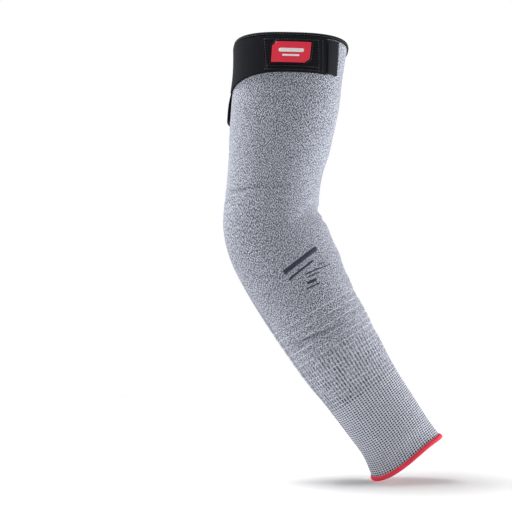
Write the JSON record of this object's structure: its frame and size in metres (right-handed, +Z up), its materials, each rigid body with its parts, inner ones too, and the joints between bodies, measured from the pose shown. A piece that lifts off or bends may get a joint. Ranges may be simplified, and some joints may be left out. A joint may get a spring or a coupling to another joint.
{
  "type": "cut resistant sleeve",
  "caption": "Hollow knitted sleeve for upper arm, elbow and forearm, bent as worn, with a bound arm opening, wide strap with pull tab, framed patch, loop pad and overlocked wrist hem.",
  "frame": {"origin": "centre of the arm opening, level with the top edge of its black binding", "axes": "+Z up out of the arm opening; +X to the side that the forearm leans to; front of the sleeve, with the patch, towards -Y"},
  "size_m": [0.2201, 0.1234, 0.4472],
  "materials": {
    "knit": "melange grey knit, matt",
    "binding_tape": "black ribbed elastic tape, matt",
    "hem_thread": "red overlock thread, matt",
    "strap_webbing": "black woven elastic, matt",
    "tab_webbing": "black brushed loop tape, matt",
    "patch_frame_rubber": "black moulded rubber, satin",
    "patch_rubber": "red moulded rubber, satin",
    "loop_pile": "black loop pile tape, matt"
  },
  "bodies": {
    "root": {"knit_sleeve": "knit", "arm_binding": "binding_tape", "wrist_hem": "hem_thread", "strap_band": "strap_webbing", "strap_tab": "tab_webbing", "patch_frame": "patch_frame_rubber", "patch_face": "patch_rubber", "loop_pad": "loop_pile"}
  },
  "joints": []
}
